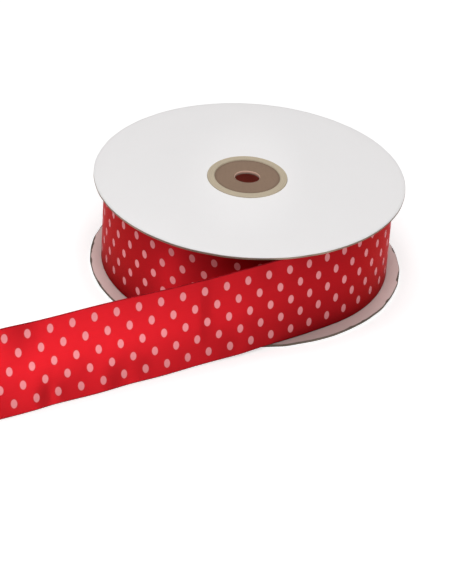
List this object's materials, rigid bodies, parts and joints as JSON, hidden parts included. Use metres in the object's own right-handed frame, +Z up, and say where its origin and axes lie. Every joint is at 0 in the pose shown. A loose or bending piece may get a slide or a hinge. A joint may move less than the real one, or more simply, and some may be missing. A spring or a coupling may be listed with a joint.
{
  "type": "spool of satin ribbon",
  "caption": "Round board spool wound with spotted satin ribbon, its loose end standing on edge and running off to one side.",
  "frame": {"origin": "middle of the footprint, spool and loose end together, on the surface that the spool stands on", "axes": "+Z up along the spool's axis, +X to the right and +Y to the back as the spool is seen from the front"},
  "size_m": [0.1606, 0.1946, 0.0411],
  "materials": {
    "white_board": "white-lined paperboard with a bare grey-brown cut edge",
    "cream_board": "wound paper tube, cream, cut square",
    "tan_board": "plain tan chipboard",
    "red_satin": "red polyester satin with staggered rows of pale pink spots"
  },
  "bodies": {
    "root": {"flange_top": "white_board", "flange_bottom": "white_board", "core_tube": "cream_board", "hub_disc_top": "tan_board", "hub_disc_bottom": "tan_board", "ribbon_roll": "red_satin", "ribbon_tail": "red_satin"}
  },
  "joints": []
}
